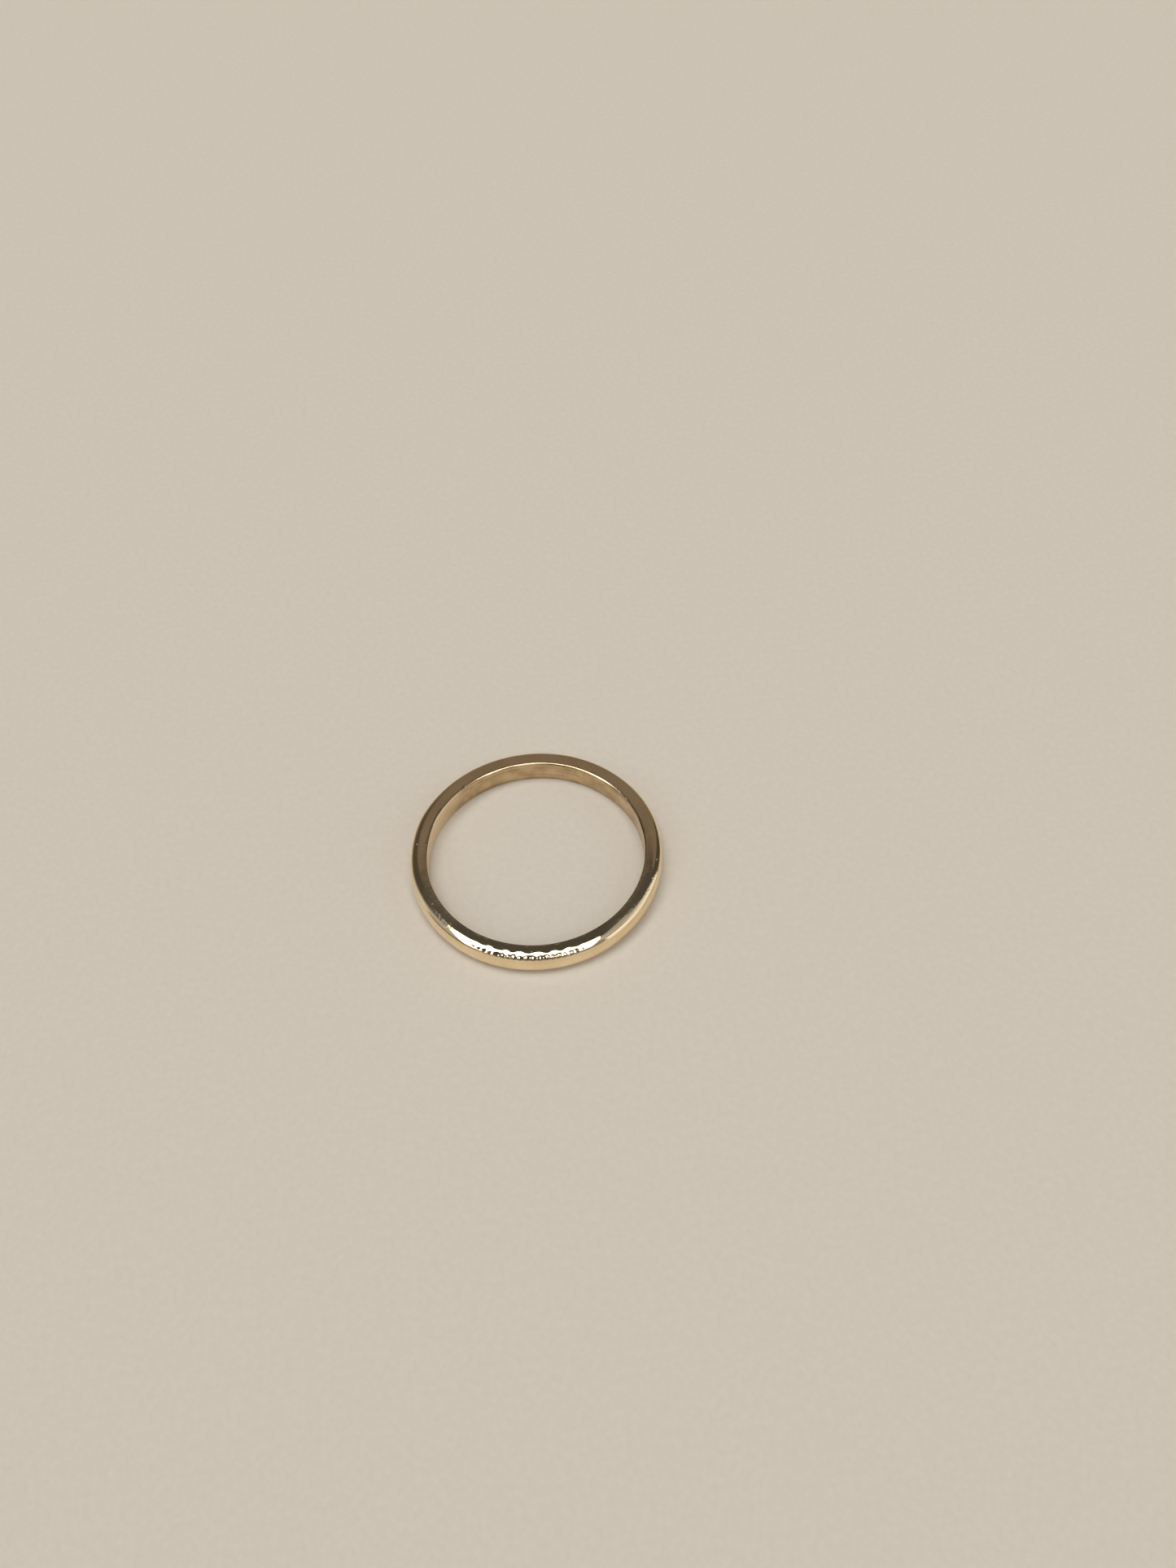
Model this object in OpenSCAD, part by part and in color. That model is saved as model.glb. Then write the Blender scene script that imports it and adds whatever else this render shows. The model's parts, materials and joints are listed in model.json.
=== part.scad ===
// Plain wedding band: a length of D-section gold wire bent round and closed by one soldered joint.
// The origin is the centre of the finger hole at half the band's width, and +Z is the hole's axis.

/* [Band] */
// Diameter of the finger hole
bore_d = 16.5; // [14:0.1:23]
// Width of the band, measured along the finger
band_w = 1.9; // [1.4:0.1:8]
// Wall thickness at the two flat sides
side_t = 1.1; // [0.6:0.05:2]
// Rise of the domed outside above the side walls
dome_h = 0.15; // [0.05:0.05:0.6]

/* [Edges] */
// Radius of the two edges against the finger
inner_round = 0.12; // [0.04:0.01:0.3]
// Radius of the two outer edges
outer_round = 0.65; // [0.05:0.01:0.8]

/* [Soldered joint] */
// Thickness of the solder between the wire's two ends
solder_t = 0.1; // [0.04:0.02:0.3]
// Place of the joint round the band, in degrees from +X
solder_at = 211; // [0:1:359]

/* [Hidden] */
$fn = 180;
gold = [0.83, 0.66, 0.38];
solder = [0.86, 0.74, 0.5];

// The inner edges are cut from at most a quarter of the wall, and the outer ones from three fifths
inner_r = min(inner_round, side_t / 4, band_w / 4);
outer_r = min(outer_round, 3 * side_t / 5, 2 * band_w / 5);

// The section is drawn with X as the distance from the axis and Y as the place along the width
bore_x = bore_d / 2;
crown_x = bore_x + side_t + dome_h;
half_w = band_w / 2;

// The dome's arc runs through the crown and the two sharp outer corners
dome_r = (half_w * half_w + dome_h * dome_h) / (2 * dome_h);
dome_x = crown_x - dome_r;

// Centres of the edge roundings, the outer ones touching both the side and the dome
inner_x = bore_x + inner_r;
inner_y = half_w - inner_r;
outer_y = half_w - outer_r;
outer_x = dome_x + sqrt(pow(dome_r - outer_r, 2) - outer_y * outer_y);

// Where the rays from the dome's centre through the outer roundings have left the dome
past_dome = 2 * dome_r / (dome_r - outer_r);
ray_x = dome_x + past_dome * (outer_x - dome_x);
ray_y = past_dome * outer_y;

// Angle that the solder fills, from its thickness at the middle of the side wall
solder_deg = 180 * solder_t / (PI * (bore_x + side_t / 2));

// The wire's D section: flat inside, flat sides, domed outside and four rounded edges
module wire_section() {
    translate([bore_x, -inner_y]) square([outer_x - bore_x, 2 * inner_y]);
    translate([inner_x, -half_w]) square([outer_x - inner_x, band_w]);
    for (side = [-1, 1]) translate([inner_x, side * inner_y]) circle(inner_r);
    intersection() {
        for (side = [-1, 1]) translate([outer_x, side * outer_y]) circle(outer_r);
        translate([inner_x, -half_w]) square([crown_x - inner_x, band_w]);
    }
    intersection() {
        translate([dome_x, 0]) circle(dome_r);
        polygon([
            [inner_x, -outer_y],
            [outer_x, -outer_y],
            [ray_x, -ray_y],
            [ray_x + dome_r, -ray_y],
            [ray_x + dome_r, ray_y],
            [ray_x, ray_y],
            [outer_x, outer_y],
            [inner_x, outer_y]
        ]);
    }
}

// A stretch of the ring, from one angle over a given span
module ring_stretch(from_deg, span_deg) {
    rotate(from_deg) rotate_extrude(angle = span_deg) wire_section();
}

// The bent wire, from one face of the soldered joint round to the other
module shank() {
    color(gold) ring_stretch(solder_at + solder_deg / 2, 360 - solder_deg);
}

// The solder that fills the joint, flush with the wire all round
module solder_seam() {
    color(solder) ring_stretch(solder_at - solder_deg / 2, solder_deg);
}

shank();
solder_seam();
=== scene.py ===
"""Plain yellow-gold wedding band lying on its side: bent wire, one soldered joint, hand polish and wear.

Lengths are in metres and angles in radians unless a comment says otherwise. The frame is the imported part's
own: the origin is the centre of the finger hole, +Z is the hole's axis, and angles round the band run from
+X towards +Y.
"""

import json
import math

import bpy
from mathutils import Matrix, Vector


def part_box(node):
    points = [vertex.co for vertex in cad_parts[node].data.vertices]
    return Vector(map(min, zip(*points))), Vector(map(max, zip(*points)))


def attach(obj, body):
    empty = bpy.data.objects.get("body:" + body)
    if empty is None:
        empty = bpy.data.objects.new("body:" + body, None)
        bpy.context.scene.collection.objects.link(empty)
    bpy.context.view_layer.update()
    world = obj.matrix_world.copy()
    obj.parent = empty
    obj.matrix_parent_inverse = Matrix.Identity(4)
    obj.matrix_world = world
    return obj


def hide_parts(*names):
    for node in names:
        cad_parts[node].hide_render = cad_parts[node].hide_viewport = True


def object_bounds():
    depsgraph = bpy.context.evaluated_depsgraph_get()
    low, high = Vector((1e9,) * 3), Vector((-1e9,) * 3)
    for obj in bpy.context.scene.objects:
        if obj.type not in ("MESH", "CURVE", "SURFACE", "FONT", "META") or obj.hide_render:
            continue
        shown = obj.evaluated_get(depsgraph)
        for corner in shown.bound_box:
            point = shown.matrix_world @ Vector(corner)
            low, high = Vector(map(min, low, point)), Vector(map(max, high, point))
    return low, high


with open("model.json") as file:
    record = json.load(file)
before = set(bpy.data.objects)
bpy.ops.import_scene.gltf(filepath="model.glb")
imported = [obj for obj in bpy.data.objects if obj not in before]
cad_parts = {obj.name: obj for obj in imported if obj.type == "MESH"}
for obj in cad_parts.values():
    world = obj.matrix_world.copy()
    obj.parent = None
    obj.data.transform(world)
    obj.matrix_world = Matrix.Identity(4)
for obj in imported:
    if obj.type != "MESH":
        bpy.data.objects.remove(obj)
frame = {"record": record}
cad_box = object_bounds()

MM = 0.001
MICRON = 0.001 * MM

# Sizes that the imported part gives
BORE = next(mount for mount in frame["record"]["mounts"] if mount["name"] == "finger_bore")
BORE_R = BORE["dims"]["r_mm"] * MM
HALF_W = cad_box[1].z
WALL = cad_box[1].x - BORE_R
EDGE_DOWN = HALF_W - BORE["dims"]["length_mm"] * MM / 2
JOINT_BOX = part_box("solder_seam")
JOINT_MIDDLE = (JOINT_BOX[0] + JOINT_BOX[1]) / 2
JOINT_AT = math.atan2(JOINT_MIDDLE.y, JOINT_MIDDLE.x)

# Solder between the wire's two ends: its thickness, and the angle that it fills
SOLDER_T = 0.1 * MM
SOLDER_TURN = SOLDER_T / (BORE_R + WALL / 2)

# Inner edges: they reach further across the sides than down the hole's wall, and are nearly square in front
EDGE_ACROSS = 1.4 * EDGE_DOWN
FRONT_EDGE_EASE = 0.12
BACK_EDGE_EASE = 1.0

# Outside of the wire: how square it is in front and behind, and how much less where the shoulder is worn
FRONT_SQUARENESS = 3.4
BACK_SQUARENESS = 4.4
SHOULDER_WEAR = 0.9
SHOULDER_AT = math.radians(320)
SHOULDER_REACH = math.radians(24)
SHOULDER_FULL_REACH = 0.3 * SHOULDER_REACH

# Where the front's edges and outside give way to the back's, as shares of the radius towards +Y
EDGES_TURN_BACK = (-0.6, 0.2)
OUTSIDE_TURNS_BACK = (-0.3, 0.1)

# How much thicker the wire is at the back, all of it on the finger's side
THICKER_BACK = 0.12 * MM

# Where the hand-bent wire leaves the circle: degrees round the band, half-length in degrees, millimetres
BENDS = [(22, 20, 0.03), (108, 22, -0.03), (153, 9, 0.035), (178, 12, -0.03), (232, 16, 0.015)]

# Knocked stretch of the upper outer edge: soft facets and, below them, a row of dents
WORN_AT = math.radians(262)
WORN_REACH = math.radians(28)
WORN_FULL_REACH = 0.6 * WORN_REACH
FACET_LENGTH = 1.25 * MM
FACET_DEPTH = 0.013 * MM
FACET_PLACE = (0.76 * MM, 0.91 * MM)
FACET_SPREAD = 0.14 * MM
DENT_LENGTH = 0.46 * MM
DENT_DEPTH = 0.012 * MM
DENT_PLACE = (1.00 * MM, 0.81 * MM)
DENT_SPREAD = 0.09 * MM

# Unevenness by hand: the polish's waves, the knocks' sway and least strength, and the fineness of each
POLISH_DEPTH = 0.005 * MM
POLISH_FINENESS = 0.75 / MM
KNOCK_SWAY = 4.5
SWAY_FINENESS = 0.6 / MM
LEAST_KNOCK = 0.55
KNOCK_FINENESS = 1.1 / MM

# Steps of the mesh, which crowd together at the knocked stretch
STEPS_ROUND = 1000
CROWDING = 0.6
SOLDER_STEPS = 4
OUTSIDE_STEPS = 72
EDGE_STEPS = 8
INSIDE_STEPS = 8
SECTION_STEPS = OUTSIDE_STEPS + 2 * EDGE_STEPS + INSIDE_STEPS
WELD = 1 * MICRON
SHARP_RIM = 1.0

# Colours of the finishes: bright metal, its deeper tone, and the finger hole's wall darkened as painted
# shade, standing in for the shaded floor that it reflects
GOLD = (0.98, 0.815, 0.56)
DEEP_GOLD = (0.84, 0.665, 0.41)
SOLDER = (0.98, 0.825, 0.575)
DEEP_SOLDER = (0.84, 0.675, 0.425)
# Painted shade: the finger hole's wall is darker in colour, for the shaded floor that it reflects
PAINTED_SHADE_GOLD = (0.465, 0.325, 0.18)

# Scuffed stretches of the sides: degrees round the band, half-length in degrees, strokes in micrometres
SCUFFS = [(325, 22, 6.0), (208, 20, 1.0)]

# Small nicks: degrees round the band, millimetres from the axis and millimetres across
NICKS = [
    (347.5, 9.12, 0.32),
    (1.8, 9.35, 0.2),
    (337.0, 9.1, 0.22),
    (330.7, 9.1, 0.26),
    (169.9, 9.0, 0.16),
]

# Ragged outline of the nicks: fineness and strength, the slant, length and breadth, and the rim's place
NICK_FINENESS = 9.0
NICK_RAGGEDNESS = 0.8
NICK_SLANT = 0.4
NICK_ALONG = 0.8
NICK_ACROSS = 2.0
NICK_RIM = 0.6
NICKED_HEIGHT = (0.0, 0.3)

# Hairline scratches: slant, closeness across their length, and width as a share of the pattern's swing
HAIRLINES = [(0.4, 3.0, 0.05), (1.3, 3.6, 0.04), (2.5, 4.2, 0.04)]
HAIRLINE_STRETCH = 0.3
HAIRLINE_UPWARD = 2

# Patches that carry hairlines: closeness across and along them, what keeps the slants apart, and their rim
PATCHES_ACROSS = 0.5
PATCHES_ALONG = 0.8
PATCH_SHIFT = 7
HAIRLINE_PATCHES = (0.5, 0.62)

# Strokes of the scuffs: repeats to the millimetre across the band, and to the radian round it
STROKES_ACROSS = 0.9
STROKES_ROUND = 55

# Patterns of the finish, in repeats to the millimetre: first along the marks, then across them
WALL_LINES = (0.22, 9.0)
SIDE_LINES = (0.3, 12.0, 5.0)
PIT_FINENESS = 3.2
KNOCK_PATCH_FINENESS = 1.7
SCUFF_FINENESS = 5.0
WAVINESS_FINENESS = 1.3
STREAK_FINENESS = 0.9
FILM_FINENESS = 4.0
TONE_FINENESS = 0.35
GLOSS_FINENESS = 1.6

# Where each pattern's value starts to show as a mark and where the mark is full
PIT_RIM = (0.13, 0.05)
PITTED_CELLS = (0.70, 0.72)
KNOCK_PATCHES = (0.55, 0.70)
STREAKS = (-0.2, 0.25)
FILM_PATCHES = (0.45, 0.75)
TONE_PATCHES = (0.35, 0.7)

# Zones of the section, in millimetres from the finger hole's wall: where each starts and is full
INSIDE_ZONE = (0.10, 0.04)
OUTSIDE_ZONE = (1.05, 1.18)
BURNISHED_ZONE = (0.55, 0.70)

# The same for heights above the band's mid plane, and for the angle along the burnished front edge
BURNISHED_HEIGHT = (0.35, 0.65)
KNOCKED_HEIGHT = (0.7, 0.8)
BURNISHED_REACH = 1.5 * WORN_REACH

# Knocked inner edge: its middle in millimetres from the finger hole's wall, outer and inner reach
KNOCKED_EDGE = (0.03, 0.14, 0.05)

# Depths of the marks, in micrometres
WALL_LINE_DEPTH = 6.0
SIDE_LINE_DEPTH = 0.5
SCUFFED_LINE_DEPTH = 0.8
WAVINESS = 1.5
SCUFF_DEPTH = 4.0
SIDE_SCRATCH_DEPTH = 0.08
OUTSIDE_SCRATCH_DEPTH = 0.5
PIT_DEPTH = 2.0
KNOCK_DEPTH = 3.0
NICK_DEPTH = 14.0

# Roughness of the polish, and what uneven gloss and each mark or zone adds to it
POLISH_ROUGHNESS = 0.035
UNEVEN_GLOSS = 0.04
INSIDE_ROUGHNESS = 0.10
SCRATCH_ROUGHNESS = 0.06
SCUFF_ROUGHNESS = 0.04
OUTSIDE_ROUGHNESS = 0.05
BURNISHED_SHARE = 0.6

# Painted shade on the finger hole's wall, standing in for the shaded floor that it reflects: its share, what
# the wall's streaks add, and the share that painted fill light takes off again at one place
WALL_PAINTED_SHADE = 0.55
STREAK_PAINTED_SHADE = 0.45
# Painted fill light: less painted shade on the wall round this angle, where its reflected floor lies in
# shade
PAINTED_FILL_SHARE = 0.85
PAINTED_FILL_AT = math.radians(165)
PAINTED_FILL_COSINES = (0.80, 0.97)

# Share of the deeper tone that uneven colour, scratches and film bring
UNEVEN_TONE = 0.5
SCRATCH_TONE = 0.2
FILM_TONE = 0.25

# Floor of the stage
FLOOR_RADIUS = 1.3
FLOOR_CORNERS = 128
FLOOR_TONES = ((0.69, 0.626, 0.534), (0.783, 0.716, 0.616))
FLOOR_FINENESS = 2.2 / MM
FLOOR_ROUGHNESS = 0.95

# Light of the studio's walls, horizon, cards and panel
WALL_IN_FRONT = (0.29, 0.25, 0.22)
WALL_BEHIND = (0.186, 0.150, 0.120)
DARK_CORNERS = (0.07, 0.062, 0.05)
DARK_ABOVE = (0.066, 0.065, 0.06)
HORIZON_GLOW = (0.61, 0.54, 0.45)
BRIGHT_GLOW = (0.85, 0.77, 0.66)
LEFT_HORIZON = (0.19, 0.148, 0.122)
RIGHT_HORIZON = (0.33, 0.27, 0.2)
LENS_CARD = (0.07, 0.067, 0.06)
PANEL_IN_FRONT = (2.2, 2.18, 2.15)
PANEL_OVERHEAD = (5.0, 4.95, 4.9)

# Corners and cards: degrees round the horizon, from +X or for the left card from -X, outer and inner reach
RIGHT_CORNER = (31.0, 20.0, 12.0)
LEFT_CORNER = (134.0, 32.0, 18.0)
LEFT_CARD = (0.0, 30.0, 14.0)
RIGHT_CARD = (-14.0, 28.0, 22.0)
RIGHT_LINE = (-8.0, 26.0, 16.0)

# Degrees above the horizon where each of them fades or widens, as start and end
RIGHT_CORNER_RISE = (4.0, 16.0)
LEFT_CORNER_RISE = (18.0, 34.0)
DARK_ABOVE_RISE = (54.6, 57.2)
LEFT_CARD_RISE = (6.0, 46.0)
RIGHT_CARD_RISE = (22.0, 62.0)
RIGHT_CARD_TOP = (58.0, 68.0)
LEFT_LINE_RISE = (32.0, 12.0)
RIGHT_LINE_RISE = (6.0, 3.0)
LENS_CARD_RISE = (20.0, 30.0)

# Tones of the pale cards from low to high
LEFT_CARD_TONES = (0.66, 0.34)
RIGHT_CARD_TONES = (0.95, 0.36)

# Right card: degrees that its top is wider by, its dark gap, and its paler parts above and below the gap
WIDER_TOP = 24.0
GAP_RISE = (46.0, 6.0, 3.0)
GAP_TURN = (-10.0, -18.0)
GAP_DARKENING = 0.55
UPPER_PALE_RISE = (50.0, 54.0)
UPPER_PALE_TURN = (-4.0, -10.0)
LOWER_PALE_RISE = (42.0, 36.0)
LOWER_PALE_TURN = (-10.0, -24.0)
PALER_BY = 0.12

# Degrees above the horizon that the glow reaches in front, behind and, further up, at the front right
GLOW_HEIGHTS = (12.0, 4.0)
HIGHER_GLOW = 14
GLOW_FULL_SHARE = 0.25

# Degrees from +X where the front right's glow starts, and from -X where the left's dim line starts and ends
FRONT_RIGHT_TURN = (-50.0, -38.0)
LEFT_LINE_START = (-8.0, 2.0)
LEFT_LINE_END = (46.0, 30.0)

# How far towards +Y, out of 1, the light in front gives way to the light behind
WALL_TURNS_BACK = (-0.1, 0.3)
GLOW_TURNS_BACK = (0.2, 0.7)
FRONT_RIGHT_ENDS = (0.1, -0.2)
LAMP_ENDS = (0.0, -0.2)

# Panel and lens card in a level plane at unit height: each edge's slant, and where its fade starts and ends
PANEL_BACK_EDGE = (0.6, 0.25, 0.225)
PANEL_RIGHT_EDGE = (0.47, 0.316, 0.286)
PANEL_LEFT_EDGE = (1.2, -0.754, -0.714)
CARD_RIGHT_EDGE = (0.31, 0.18, 0.14)
CARD_LEFT_EDGE = (0.45, 0.66, 0.60)
CARD_BACK_EDGE = (0.3, 0.0, -0.04)

# The same plane's straight front edge of the panel, its change to overhead light, and its lowest height
PANEL_FRONT_EDGE = (-1.5, -1.0)
PANEL_TURNS_OVERHEAD = (-0.25, 0.0)
LOWEST_HEIGHT = 0.05

# Oval lamp at the lens: half its width and height as angles, how far left it sits, and its soft rim
LAMP_ASIDE = math.radians(10)
LAMP_UP = math.radians(13)
LAMP_LEFT = 0.04
LAMP_RIM = (1.1, 0.9)

# Photograph's lens and viewpoint
PHOTO_W = 1445
PHOTO_H = 1927
LENS_PX = 1680
RING_PX = (659.0, 1052.8)
VIEW_RISE = math.radians(55.9)
VIEW_ROLL = math.radians(5.73)
VIEW_DISTANCE = 103.6 * MM


class Value:
    """A node's output socket that Python's arithmetic works on."""

    def __init__(self, tree, socket):
        self.tree = tree
        self.socket = socket

    def other(self, name):
        return Value(self.tree, self.socket.node.outputs[name])

    def __add__(self, other):
        return self.tree.math("ADD", self, other)

    def __radd__(self, other):
        return self.tree.math("ADD", other, self)

    def __sub__(self, other):
        return self.tree.math("SUBTRACT", self, other)

    def __rsub__(self, other):
        return self.tree.math("SUBTRACT", other, self)

    def __mul__(self, other):
        return self.tree.math("MULTIPLY", self, other)

    def __rmul__(self, other):
        return self.tree.math("MULTIPLY", other, self)

    def __truediv__(self, other):
        return self.tree.math("DIVIDE", self, other)

    def __rtruediv__(self, other):
        return self.tree.math("DIVIDE", other, self)

    def __pow__(self, other):
        return self.tree.math("POWER", self, other)

    def __neg__(self):
        return self.tree.math("MULTIPLY", self, -1.0)

    def __abs__(self):
        return self.tree.math("ABSOLUTE", self)


class Tree:
    """A node tree with one way to add a node: its type, its settings and its sockets' values or links."""

    def __init__(self, node_tree):
        self.node_tree = node_tree
        node_tree.nodes.clear()

    def add(self, kind, settings=None, sockets=None, output=0):
        node = self.node_tree.nodes.new(kind)
        for name, value in (settings or {}).items():
            setattr(node, name, value)
        for key, value in (sockets or {}).items():
            if isinstance(value, Value):
                self.node_tree.links.new(value.socket, node.inputs[key])
            else:
                node.inputs[key].default_value = value
        return Value(self, node.outputs[output]) if len(node.outputs) else None

    def math(self, operation, *numbers):
        return self.add("ShaderNodeMath", {"operation": operation}, dict(enumerate(numbers)))

    def vector_math(self, operation, *vectors, output=0, **named):
        sockets = dict(enumerate(vectors)) | named
        return self.add("ShaderNodeVectorMath", {"operation": operation}, sockets, output)

    def vector(self, x, y, z):
        return self.add("ShaderNodeCombineXYZ", None, {0: x, 1: y, 2: z})

    def parts(self, vector):
        x = self.add("ShaderNodeSeparateXYZ", None, {0: vector})
        return x, x.other("Y"), x.other("Z")

    def ease(self, value, start, end, low=0.0, high=1.0):
        """Runs smoothly from low to high while the value runs from start to end."""
        sockets = dict(enumerate((value, start, end, low, high)))
        return self.add("ShaderNodeMapRange", {"interpolation_type": "SMOOTHSTEP"}, sockets)

    def near(self, value, middle, outer, inner):
        """1 within the inner reach of the middle, and 0 beyond the outer one."""
        return self.ease(abs(value - middle), outer, inner)

    def limit(self, value, low=0.0, high=1.0):
        return self.add("ShaderNodeClamp", None, {0: value, 1: low, 2: high})

    def noise(self, vector, scale, detail=2.0, roughness=0.5):
        sockets = {"Vector": vector, "Scale": scale, "Detail": detail, "Roughness": roughness}
        return self.add("ShaderNodeTexNoise", None, sockets)

    def blend(self, share, first, second):
        """Mixes two colours."""
        settings = {"data_type": "RGBA", "clamp_factor": True}
        return self.add("ShaderNodeMix", settings, {0: share, 6: first, 7: second}, 2)


def colour(red, green, blue):
    return (red, green, blue, 1.0)


# Geometry Nodes that bend the wire

def wire_section(tree, place, edge_across, edge_down, edge_ease, wall, half_w, squareness):
    """Distance from the bore and height of the surface, as place goes from 0 to 1 round the section."""
    outside = tree.limit(place * (SECTION_STEPS / OUTSIDE_STEPS))
    top_edge = tree.limit((place * SECTION_STEPS - OUTSIDE_STEPS) / EDGE_STEPS) * (math.pi / 2)
    inside = tree.limit((place * SECTION_STEPS - OUTSIDE_STEPS - EDGE_STEPS) / INSIDE_STEPS)
    low_edge = tree.limit((place - 1) * (SECTION_STEPS / EDGE_STEPS) + 1) * (math.pi / 2)
    slope = (outside - 0.5) * math.pi
    across = tree.math("COSINE", slope)
    up = tree.math("SINE", slope)
    reach = wall - edge_across
    outward = tree.math("MAXIMUM", across, 0.0) / reach
    radius = (outward ** squareness + (abs(up) / half_w) ** squareness) ** (-1 / squareness)
    out = edge_across + radius * across
    out = out - edge_across * tree.math("SINE", top_edge) ** edge_ease
    out = out + edge_across * (1 - tree.math("COSINE", low_edge) ** edge_ease)
    height = radius * up - edge_down * (1 - tree.math("COSINE", top_edge) ** edge_ease)
    height = height - 2 * (half_w - edge_down) * inside
    height = height - edge_down * tree.math("SINE", low_edge) ** edge_ease
    return out, height


def bent_off_circle(tree, turn):
    """How far the hand-bent wire lies outside its circle."""
    total = 0.0
    for middle, half_length, rise in BENDS:
        sharpness = 1 / (1 - math.cos(math.radians(half_length)))
        nearness = tree.math("COSINE", turn - math.radians(middle)) - 1
        total = tree.math("EXPONENT", nearness * sharpness) * (rise * MM) + total
    return total


def crowded(tree, share, finest_at, crowding):
    """Share of the stretch reached at this share of its steps, which lie closest at finest_at."""
    whole = 2 * math.pi
    swing = tree.math("SINE", (share - finest_at) * whole) + tree.math("SINE", finest_at * whole)
    return share - swing * crowding / whole


def knocked_row(tree, turn, out, height, place, spread, length, sway):
    """Waves along the knocked stretch of the upper outer edge, strongest at one place of the section."""
    away = ((out - place[0]) ** 2.0 + (height - place[1]) ** 2.0) / (2 * spread ** 2)
    waves = tree.math("COSINE", turn * ((BORE_R + WALL) * 2 * math.pi / length) + sway)
    nearness = tree.math("COSINE", turn - WORN_AT)
    strength = tree.ease(nearness, math.cos(WORN_REACH), math.cos(WORN_FULL_REACH))
    return waves * tree.math("EXPONENT", -away) * strength


def wire_bender():
    """Geometry Nodes tree that bends a stretch of the wire round the finger hole."""
    group = bpy.data.node_groups.new("wire_bender", "GeometryNodeTree")
    group.interface.new_socket("Geometry", in_out="OUTPUT", socket_type="NodeSocketGeometry")
    lengths = ("Bore Radius", "Half Width", "Wall", "Thicker Back", "Edge Across", "Edge Down")
    lengths = lengths + ("Polish Waves", "Facet Depth", "Dent Depth")
    shares = ("Front Squareness", "Back Squareness", "Shoulder Wear", "Finest At", "Crowding")
    angles = ("From Angle", "Turn")
    for name in lengths + shares + angles:
        group.interface.new_socket(name, in_out="INPUT", socket_type="NodeSocketFloat")
    group.interface.new_socket("Steps Round", in_out="INPUT", socket_type="NodeSocketInt")
    group.interface.new_socket("Finish", in_out="INPUT", socket_type="NodeSocketMaterial")
    tree = Tree(group)
    given = tree.add("NodeGroupInput")

    # A flat grid, one row for each step round the band and one more at each end for the cut face
    steps = given.other("Steps Round")
    grid_size = {"Size X": 1.0, "Size Y": 1.0, "Vertices X": steps + 3, "Vertices Y": SECTION_STEPS + 1}
    grid = tree.add("GeometryNodeMeshGrid", None, grid_size)
    column, row, _ = tree.parts(tree.add("GeometryNodeInputPosition"))
    step = (column + 0.5) * (steps + 2)
    even_share = tree.limit((step - 1) / steps)
    share = crowded(tree, even_share, given.other("Finest At"), given.other("Crowding"))
    stored = {"data_type": "FLOAT2", "domain": "CORNER"}
    sockets = {"Geometry": grid, "Name": "wrap", "Value": tree.vector(share, row + 0.5, 0.0)}
    grid = tree.add("GeometryNodeStoreNamedAttribute", stored, sockets)

    # Each grid point goes to its place on the bent wire, and the end rows close in on the wire's middle
    turn = given.other("From Angle") + given.other("Turn") * share
    body = tree.limit(step) * tree.limit(steps + 2 - step)
    wall = given.other("Wall")
    backward = tree.math("SINE", turn)
    squareness = given.other("Front Squareness")
    less_worn = tree.ease(backward, *OUTSIDE_TURNS_BACK)
    squareness = squareness + (given.other("Back Squareness") - squareness) * less_worn
    shoulder = tree.math("COSINE", turn - SHOULDER_AT)
    shoulder = tree.ease(shoulder, math.cos(SHOULDER_REACH), math.cos(SHOULDER_FULL_REACH))
    squareness = squareness - shoulder * given.other("Shoulder Wear")
    edge_ease = tree.ease(backward, *EDGES_TURN_BACK, FRONT_EDGE_EASE, BACK_EDGE_EASE)
    edge_across = given.other("Edge Across")
    edge_down = given.other("Edge Down")
    half_w = given.other("Half Width")
    place = row + 0.5
    out, height = wire_section(tree, place, edge_across, edge_down, edge_ease, wall, half_w, squareness)
    out = out - given.other("Thicker Back") * (backward + 1) / 2 * (1 - out / wall)
    ahead = tree.vector(tree.math("COSINE", turn), backward, 0.0)
    core_radius = given.other("Bore Radius") + wall / 2 + bent_off_circle(tree, turn)
    core = tree.vector_math("SCALE", ahead, Scale=core_radius)
    from_core = tree.vector_math("SCALE", ahead, Scale=out - wall / 2)
    from_core = tree.vector_math("ADD", from_core, tree.vector(0.0, 0.0, height))

    # Hand polishing leaves the surface very slightly wavy, and knocks have worn a stretch of the edge
    smooth_place = tree.vector_math("ADD", core, from_core)
    lift = (tree.noise(smooth_place, POLISH_FINENESS, detail=1.0) - 0.5) * given.other("Polish Waves")
    sway = (tree.noise(smooth_place, SWAY_FINENESS, detail=1.0) - 0.5) * KNOCK_SWAY
    facets = knocked_row(tree, turn, out, height, FACET_PLACE, FACET_SPREAD, FACET_LENGTH, sway)
    dents = knocked_row(tree, turn, out, height, DENT_PLACE, DENT_SPREAD, DENT_LENGTH, sway)
    uneven = tree.noise(smooth_place, KNOCK_FINENESS, detail=1.0) + LEAST_KNOCK
    lift = lift + (facets * given.other("Facet Depth") + dents * given.other("Dent Depth")) * uneven
    lifted = tree.vector_math("SCALE", tree.vector_math("NORMALIZE", from_core), Scale=lift)
    from_core = tree.vector_math("SCALE", tree.vector_math("ADD", from_core, lifted), Scale=body)
    bent_place = tree.vector_math("ADD", core, from_core)
    wire = tree.add("GeometryNodeSetPosition", None, {"Geometry": grid, "Position": bent_place})
    wire = tree.add("GeometryNodeMergeByDistance", None, {"Geometry": wire, "Distance": WELD})

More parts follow.
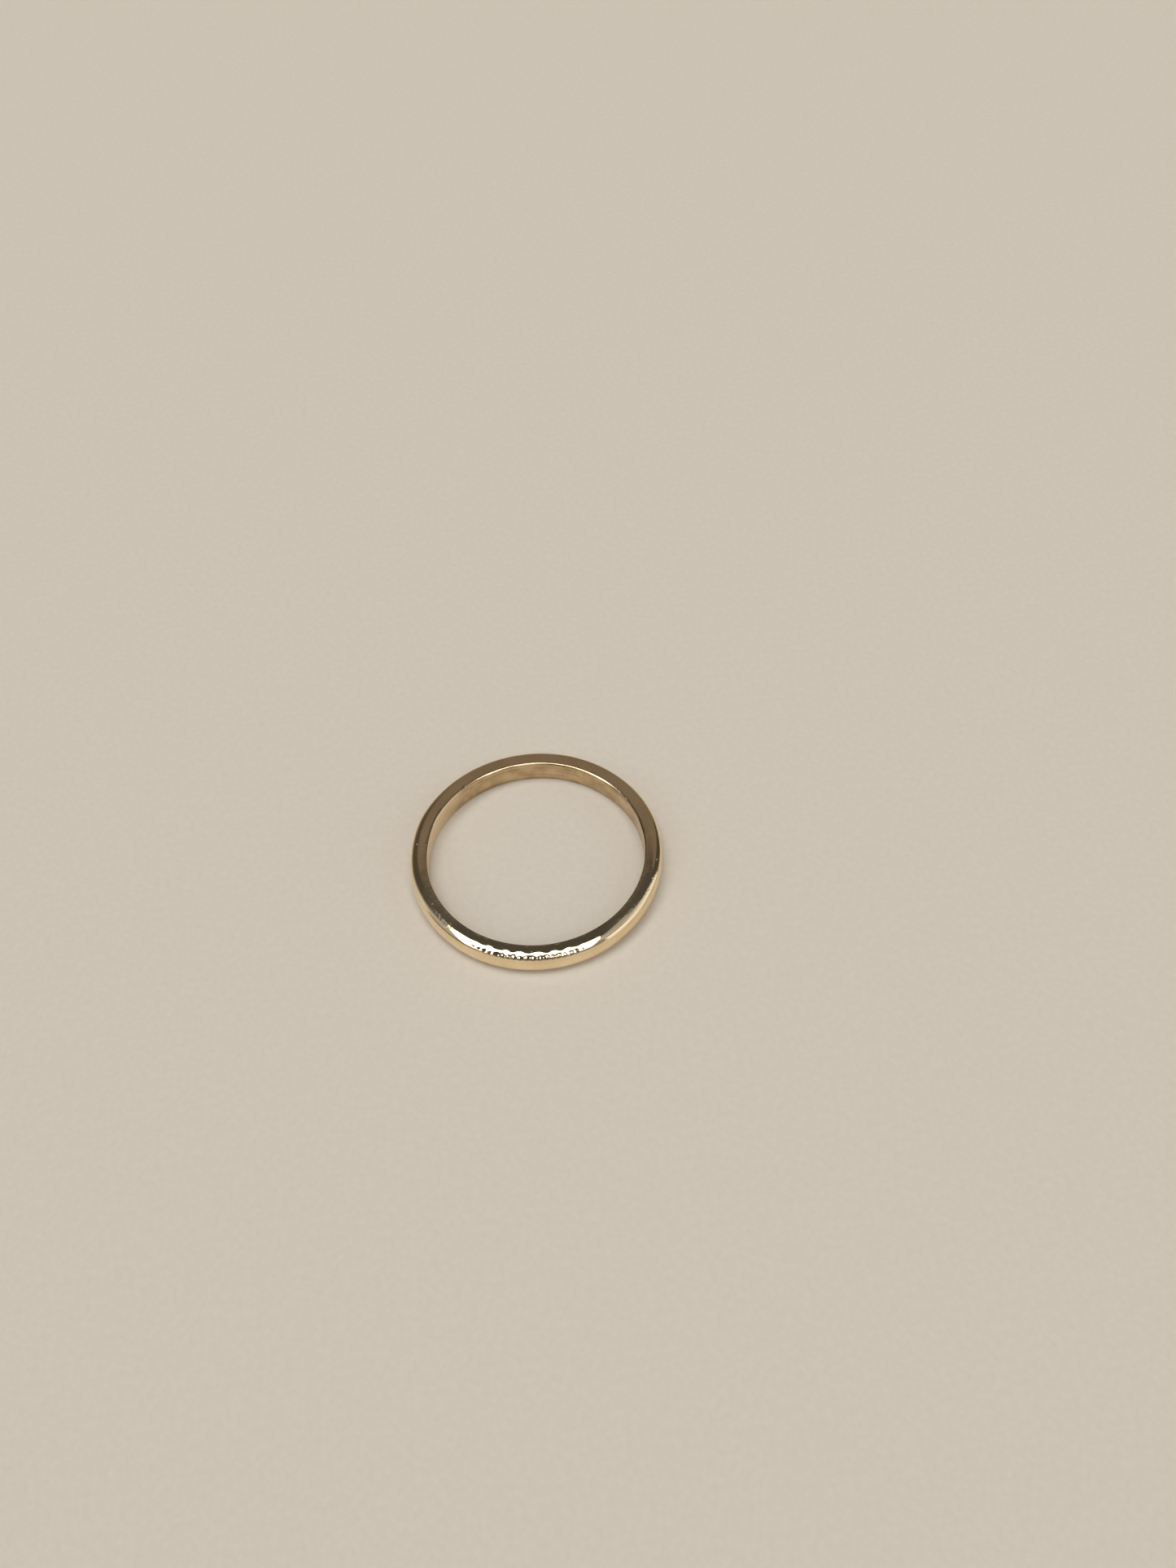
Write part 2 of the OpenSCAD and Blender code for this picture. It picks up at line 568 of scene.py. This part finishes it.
    # All smooth but for the sharp rims of the cut faces
    smooth_faces = {"Geometry": wire, "Shade Smooth": True}
    wire = tree.add("GeometryNodeSetShadeSmooth", {"domain": "FACE"}, smooth_faces)
    less_than = {"operation": "LESS_THAN", "data_type": "FLOAT"}
    edge_angle = tree.add("GeometryNodeInputMeshEdgeAngle")
    soft = tree.add("FunctionNodeCompare", less_than, {0: edge_angle, 1: SHARP_RIM})
    soft_edges = {"Geometry": wire, "Shade Smooth": soft}
    wire = tree.add("GeometryNodeSetShadeSmooth", {"domain": "EDGE"}, soft_edges)
    wire = tree.add("GeometryNodeRealizeInstances", None, {"Geometry": wire})
    finished = {"Geometry": wire, "Material": given.other("Finish")}
    wire = tree.add("GeometryNodeSetMaterial", None, finished)
    tree.add("NodeGroupOutput", None, {"Geometry": wire})
    return group


def bend_piece(name, bender, sizes):
    """Runs the wire bender with these sizes and keeps its result as a plain mesh."""
    piece = bpy.data.objects.new(name, bpy.data.meshes.new(name))
    bpy.context.scene.collection.objects.link(piece)
    bending = piece.modifiers.new("wire_bender", "NODES")
    bending.node_group = bender
    for socket in bender.interface.items_tree:
        if socket.in_out == "INPUT":
            bending[socket.identifier] = sizes[socket.name]
    depsgraph = bpy.context.evaluated_depsgraph_get()
    bent = bpy.data.meshes.new_from_object(piece.evaluated_get(depsgraph), depsgraph=depsgraph)
    piece.modifiers.remove(bending)
    piece.data = bent
    bent.name = name
    return piece


# Finishes

def hairlines(tree, place, slant, crowd, width):
    """Long thin scratches at one slant: 1 on a scratch and 0 beside it."""
    x, y, z = tree.parts(place)
    along = x * math.cos(slant) + y * math.sin(slant)
    across = y * math.cos(slant) - x * math.sin(slant)
    waved = tree.vector(along * HAIRLINE_STRETCH, across * crowd, z * HAIRLINE_UPWARD + slant)
    waves = tree.noise(waved, 1.0, detail=1.0)
    patched = tree.vector(across * PATCHES_ACROSS, along * PATCHES_ALONG, z + slant * PATCH_SHIFT)
    patches = tree.noise(patched, 1.0, detail=1.0)
    return tree.near(waves, 0.5, width, 0.0) * tree.ease(patches, *HAIRLINE_PATCHES)


def scuffed_stretches(tree, turn):
    """1 in the middle of each scuffed stretch and 0 away from them all, and the depth of its strokes."""
    total = 0.0
    stroke_depth = 0.0
    for middle, half_length, depth in SCUFFS:
        nearness = tree.math("COSINE", turn - math.radians(middle))
        stretch = tree.ease(nearness, math.cos(math.radians(half_length)), 1.0)
        total = stretch + total
        stroke_depth = stretch * depth + stroke_depth
    return total, stroke_depth


def nicked_places(tree, place):
    """1 in each small ragged nick and 0 away from them all."""
    x, y, z = tree.parts(place)
    ragged = (tree.noise(place, NICK_FINENESS) - 0.5) * NICK_RAGGEDNESS
    total = 0.0
    for degrees, from_axis, size in NICKS:
        turn = math.radians(degrees)
        along = y * math.cos(turn) - x * math.sin(turn)
        outward = x * math.cos(turn) + y * math.sin(turn) - from_axis
        lengthways = abs(along + outward * NICK_SLANT) * NICK_ALONG
        crossways = abs(outward - along * NICK_SLANT) * NICK_ACROSS
        away = lengthways + crossways + ragged * size
        total = tree.ease(away, size * NICK_RIM, 0.0) + total
    return total * tree.ease(z, *NICKED_HEIGHT)


def polished_gold(name, metal, deeper):
    """Polished gold with wheel lines, hairline scratches, small pits, uneven tone and gloss, and painted
    shade on the finger hole's wall.
    """
    material = bpy.data.materials.new(name)
    material.use_nodes = True
    tree = Tree(material.node_tree)
    place = tree.vector_math("SCALE", tree.add("ShaderNodeTexCoord", None, None, "Object"), Scale=1 / MM)
    x, y, z = tree.parts(place)
    from_axis = (x ** 2.0 + y ** 2.0) ** 0.5
    from_bore = from_axis - BORE_R / MM
    turn = tree.math("ARCTAN2", y, x)
    inside = tree.ease(from_bore, *INSIDE_ZONE)
    outside = tree.ease(from_bore, *OUTSIDE_ZONE)
    scuffed, stroke_depth = scuffed_stretches(tree, turn)
    near_front = tree.math("COSINE", turn - WORN_AT)
    burnished = tree.ease(near_front, math.cos(BURNISHED_REACH), math.cos(WORN_REACH))
    burnished = burnished * tree.ease(from_bore, *BURNISHED_ZONE) * tree.ease(z, *BURNISHED_HEIGHT)

    # Lines round the band: along the finger hole's wall, and fainter ones along the sides and outside
    along, upward = WALL_LINES
    level = tree.vector(x * along, y * along, z * upward)
    wall_lines = tree.noise(level, 1.0, detail=4.0, roughness=0.65) - 0.5
    along, outward, upward = SIDE_LINES
    ringed = tree.vector(x * along, y * along, from_axis * outward + z * upward)
    side_lines = tree.noise(ringed, 1.0, detail=3.0, roughness=0.6) - 0.5
    side_depth = SIDE_LINE_DEPTH + scuffed * SCUFFED_LINE_DEPTH + outside
    lines = wall_lines * inside * WALL_LINE_DEPTH + side_lines * (1 - inside) * side_depth

    # Scratches, pits in some of the cells, knocks on the inner edge, nicks and scuffs
    scratches = 0.0
    for slant, crowd, width in HAIRLINES:
        scratches = hairlines(tree, place, slant, crowd, width) + scratches
    scratches = tree.limit(scratches)
    cells = tree.add("ShaderNodeTexVoronoi", None, {"Vector": place, "Scale": PIT_FINENESS})
    chosen, _, _ = tree.parts(cells.other("Color"))
    pits = tree.ease(cells, *PIT_RIM) * tree.ease(chosen, *PITTED_CELLS)
    on_edge = tree.near(from_bore, *KNOCKED_EDGE) * tree.ease(abs(z), *KNOCKED_HEIGHT)
    knocks = tree.noise(place, KNOCK_PATCH_FINENESS, detail=1.0)
    knocks = tree.ease(knocks, *KNOCK_PATCHES) * on_edge
    nicks = nicked_places(tree, place)
    strokes = tree.noise(tree.vector(turn * STROKES_ROUND, from_axis * STROKES_ACROSS, z), 1.0) - 0.5
    scuffing = tree.noise(place, SCUFF_FINENESS, detail=3.0, roughness=0.6) - 0.5
    scuffing = scuffing * scuffed * SCUFF_DEPTH + strokes * stroke_depth
    waviness = tree.noise(place, WAVINESS_FINENESS) - 0.5

    # All of it as depth in micrometres, less where the front edge is burnished
    depth = lines + waviness * (WAVINESS + scuffed * SCUFF_DEPTH) + scuffing
    depth = depth - scratches * (SIDE_SCRATCH_DEPTH + outside * OUTSIDE_SCRATCH_DEPTH)
    depth = depth - pits * PIT_DEPTH - knocks * KNOCK_DEPTH
    depth = depth * (1 - burnished) - nicks * NICK_DEPTH
    bump = {"Strength": 1.0, "Distance": MICRON, "Height": depth}
    worn_normal = tree.add("ShaderNodeBump", None, bump)

    # The finger hole's wall gets painted shade, in streaks, for the shaded floor that it reflects, lifted at
    # one place by painted fill light; the sides carry a faint film
    streaks = tree.ease(wall_lines + tree.noise(place, STREAK_FINENESS) - 0.5, *STREAKS)
    film = tree.ease(tree.noise(place, FILM_FINENESS, detail=3.0, roughness=0.6), *FILM_PATCHES)
    tone = tree.ease(tree.noise(place, TONE_FINENESS, detail=3.0), *TONE_PATCHES)
    # Painted fill light lifts the wall's painted shade at one place round the band
    painted_fill = tree.ease(tree.math("COSINE", turn - PAINTED_FILL_AT), *PAINTED_FILL_COSINES)
    # Painted shade on the finger hole's wall, stronger along streaks that follow its polish lines
    wall_shade_share = WALL_PAINTED_SHADE + streaks * STREAK_PAINTED_SHADE
    painted_wall_shade = tree.limit(inside * wall_shade_share * (1 - painted_fill * PAINTED_FILL_SHARE))
    deep_share = tone * UNEVEN_TONE + scratches * SCRATCH_TONE + film * FILM_TONE
    gold_tone = tree.blend(deep_share, colour(*metal), colour(*deeper))
    gold_tone = tree.blend(painted_wall_shade, gold_tone, colour(*PAINTED_SHADE_GOLD))

    # Gloss
    roughness = POLISH_ROUGHNESS + tree.noise(place, GLOSS_FINENESS, detail=3.0) * UNEVEN_GLOSS
    roughness = roughness + inside * INSIDE_ROUGHNESS + outside * OUTSIDE_ROUGHNESS
    roughness = roughness + scratches * SCRATCH_ROUGHNESS + scuffed * SCUFF_ROUGHNESS
    roughness = roughness * (1 - burnished * BURNISHED_SHARE)
    finish = {"Base Color": gold_tone, "Metallic": 1.0, "Roughness": roughness, "Normal": worn_normal}
    surface = tree.add("ShaderNodeBsdfPrincipled", None, finish)
    tree.add("ShaderNodeOutputMaterial", None, {"Surface": surface})
    return material


# Stage

def pale_floor():
    """A wide plain floor under the band."""
    mesh = bpy.data.meshes.new("floor")
    ring = [2 * math.pi * corner / FLOOR_CORNERS for corner in range(FLOOR_CORNERS)]
    points = [(FLOOR_RADIUS * math.cos(turn), FLOOR_RADIUS * math.sin(turn), -HALF_W) for turn in ring]
    mesh.from_pydata(points, [], [range(FLOOR_CORNERS)])
    floor = bpy.data.objects.new("floor", mesh)
    bpy.context.scene.collection.objects.link(floor)
    material = bpy.data.materials.new("pale_floor")
    material.use_nodes = True
    tree = Tree(material.node_tree)
    place = tree.add("ShaderNodeTexCoord", None, None, "Object")
    mottle = tree.noise(place, FLOOR_FINENESS, detail=4.0)
    tone = tree.blend(mottle, *[colour(*tone) for tone in FLOOR_TONES])
    finish = {"Base Color": tone, "Roughness": FLOOR_ROUGHNESS}
    surface = tree.add("ShaderNodeBsdfPrincipled", None, finish)
    tree.add("ShaderNodeOutputMaterial", None, {"Surface": surface})
    mesh.materials.append(material)


def grey(tree, tone):
    return tree.vector(tone, tone, tone)


def studio_walls(tree, y, rise, turn, leftward):
    """Walls: warm grey behind, a dim front, dark corners, a pale card at each side and a horizon."""
    wall = tree.blend(tree.ease(y, *WALL_TURNS_BACK), colour(*WALL_IN_FRONT), colour(*WALL_BEHIND))
    right_corner = tree.near(turn, *RIGHT_CORNER) * tree.ease(rise, *RIGHT_CORNER_RISE)
    left_corner = tree.near(turn, *LEFT_CORNER) * tree.ease(rise, *LEFT_CORNER_RISE)
    wall = tree.blend(tree.limit(right_corner + left_corner), wall, colour(*DARK_CORNERS))
    wall = tree.blend(tree.ease(rise, *DARK_ABOVE_RISE), wall, colour(*DARK_ABOVE))

    # The right card widens at its top and has, towards the front, a dark gap between two paler parts
    middle, outer, inner = RIGHT_CARD
    widening = tree.ease(rise, *RIGHT_CARD_TOP, 0.0, WIDER_TOP)
    right_card = tree.ease(abs(turn - middle) - widening, outer, inner)
    gap = tree.ease(turn, *GAP_TURN) * tree.near(rise, *GAP_RISE)
    paler = tree.ease(turn, *UPPER_PALE_TURN) * tree.ease(rise, *UPPER_PALE_RISE)
    paler = paler + tree.ease(turn, *LOWER_PALE_TURN) * tree.ease(rise, *LOWER_PALE_RISE)
    right_tone = tree.ease(rise, *RIGHT_CARD_RISE, *RIGHT_CARD_TONES)
    right_tone = right_tone * (1 - gap * GAP_DARKENING) + paler * PALER_BY
    wall = tree.blend(right_card, wall, grey(tree, right_tone))
    left_tone = tree.ease(rise, *LEFT_CARD_RISE, *LEFT_CARD_TONES)
    wall = tree.blend(tree.near(leftward, *LEFT_CARD), wall, grey(tree, left_tone))

    # The horizon glows, highest at the front right, with a dim line at the left and a thin one at the right
    front_right = tree.ease(turn, *FRONT_RIGHT_TURN) * tree.ease(y, *FRONT_RIGHT_ENDS)
    glow_top = tree.ease(y, *GLOW_TURNS_BACK, *GLOW_HEIGHTS) + front_right * HIGHER_GLOW
    glow = tree.blend(front_right, colour(*HORIZON_GLOW), colour(*BRIGHT_GLOW))
    wall = tree.blend(tree.ease(rise, glow_top, glow_top * GLOW_FULL_SHARE), wall, glow)
    at_left = tree.ease(leftward, *LEFT_LINE_START) * tree.ease(leftward, *LEFT_LINE_END)
    wall = tree.blend(at_left * tree.ease(rise, *LEFT_LINE_RISE), wall, colour(*LEFT_HORIZON))
    at_right = tree.near(turn, *RIGHT_LINE)
    return tree.blend(at_right * tree.ease(rise, *RIGHT_LINE_RISE), wall, colour(*RIGHT_HORIZON))


def slanted_edge(tree, value, along, edge):
    """1 on the inner side of an edge whose place moves with the slant as along grows."""
    slant, outer, inner = edge
    return tree.ease(value + along * slant, outer, inner)


def overhead_panel(tree, across, back):
    """1 inside the overhead panel."""
    panel = slanted_edge(tree, back, tree.math("MINIMUM", across, 0.0), PANEL_BACK_EDGE)
    panel = panel * slanted_edge(tree, across, back, PANEL_RIGHT_EDGE)
    panel = panel * slanted_edge(tree, across, -back, PANEL_LEFT_EDGE)
    return panel * tree.ease(back, *PANEL_FRONT_EDGE)


def card_at_lens(tree, across, back):
    """1 inside the dark card round the lens."""
    card = slanted_edge(tree, across, back, CARD_RIGHT_EDGE)
    card = card * slanted_edge(tree, -across, back, CARD_LEFT_EDGE)
    return card * slanted_edge(tree, back, abs(across), CARD_BACK_EDGE)


def lamp_at_lens(tree, x, y, z):
    """1 inside the small oval lamp at the lens."""
    above_lens = y * math.sin(VIEW_RISE) + z * math.cos(VIEW_RISE)
    aside = (x + LAMP_LEFT) / math.sin(LAMP_ASIDE)
    up = above_lens / math.sin(LAMP_UP)
    return tree.ease(aside ** 2.0 + up ** 2.0, *LAMP_RIM) * tree.ease(y, *LAMP_ENDS)


def studio_world():
    """Soft studio light: walls, a large overhead panel, and a dark card with a small lamp at the lens."""
    world = bpy.data.worlds.new("studio")
    bpy.context.scene.world = world
    world.use_nodes = True
    tree = Tree(world.node_tree)
    x, y, z = tree.parts(tree.add("ShaderNodeTexCoord", None, None, "Generated"))
    to_degrees = 180 / math.pi
    rise = tree.math("ARCSINE", tree.limit(z, -1.0, 1.0)) * to_degrees
    turn = tree.math("ARCTAN2", y, x) * to_degrees
    leftward = tree.math("ARCTAN2", -y, -x) * to_degrees
    height = tree.math("MAXIMUM", z, LOWEST_HEIGHT)
    across = x / height
    back = y / height
    wall = studio_walls(tree, y, rise, turn, leftward)
    lens_card = card_at_lens(tree, across, back)
    wall = tree.blend(lens_card * tree.ease(rise, *LENS_CARD_RISE), wall, colour(*LENS_CARD))
    panel = overhead_panel(tree, across, back) * (1 - lens_card)
    panel = tree.limit(panel + lamp_at_lens(tree, x, y, z))
    overhead = tree.ease(back, *PANEL_TURNS_OVERHEAD)
    panel_light = tree.blend(overhead, colour(*PANEL_IN_FRONT), colour(*PANEL_OVERHEAD))
    light = tree.blend(panel, wall, panel_light)
    surface = tree.add("ShaderNodeBackground", None, {"Color": light, "Strength": 1.0})
    tree.add("ShaderNodeOutputWorld", None, {"Surface": surface})


def photo_camera():
    """Camera at the photograph's viewpoint, turned so that the band falls on its pixels there."""
    data = bpy.data.cameras.new("photo_camera")
    data.lens = data.sensor_width * LENS_PX / PHOTO_H
    data.clip_start = 1 * MM
    camera = bpy.data.objects.new("photo_camera", data)
    bpy.context.scene.collection.objects.link(camera)
    back = Vector((0, -math.cos(VIEW_RISE), math.sin(VIEW_RISE)))
    right = Vector((1, 0, 0))
    look = Matrix((right, back.cross(right), back)).transposed()
    roll = Matrix.Rotation(-VIEW_ROLL, 3, "Z")
    aside = Vector(((RING_PX[0] - PHOTO_W / 2) / LENS_PX, (PHOTO_H / 2 - RING_PX[1]) / LENS_PX, -1))
    aim = Vector((0, 0, -1)).rotation_difference(aside).to_matrix()
    camera.matrix_world = (look @ roll @ aim.inverted()).to_4x4()
    camera.location = back * VIEW_DISTANCE
    bpy.context.scene.camera = camera


photo_camera()
studio_world()
pale_floor()
bpy.context.scene.view_settings.view_transform = "Standard"

wire_sizes = {
    "Bore Radius": BORE_R,
    "Half Width": HALF_W,
    "Wall": WALL,
    "Thicker Back": THICKER_BACK,
    "Edge Across": EDGE_ACROSS,
    "Edge Down": EDGE_DOWN,
    "Front Squareness": FRONT_SQUARENESS,
    "Back Squareness": BACK_SQUARENESS,
    "Shoulder Wear": SHOULDER_WEAR,
    "Polish Waves": POLISH_DEPTH,
    "Facet Depth": FACET_DEPTH,
    "Dent Depth": DENT_DEPTH,
}
shank_sizes = {
    "From Angle": JOINT_AT + SOLDER_TURN / 2,
    "Turn": 2 * math.pi - SOLDER_TURN,
    "Finest At": (WORN_AT - JOINT_AT) / (2 * math.pi) % 1,
    "Crowding": CROWDING,
    "Steps Round": STEPS_ROUND,
    "Finish": polished_gold("polished_gold", GOLD, DEEP_GOLD),
}
seam_sizes = {
    "From Angle": JOINT_AT - SOLDER_TURN / 2,
    "Turn": SOLDER_TURN,
    "Finest At": 0.0,
    "Crowding": 0.0,
    "Steps Round": SOLDER_STEPS,
    "Finish": polished_gold("polished_solder", SOLDER, DEEP_SOLDER),
}
bender = wire_bender()
shank = bend_piece("bent_wire", bender, wire_sizes | shank_sizes)
seam = bend_piece("solder_line", bender, wire_sizes | seam_sizes)
for piece, node, slot in ((shank, "shank", "gold"), (seam, "solder_seam", "solder")):
    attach(piece, "root")
    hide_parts(node)
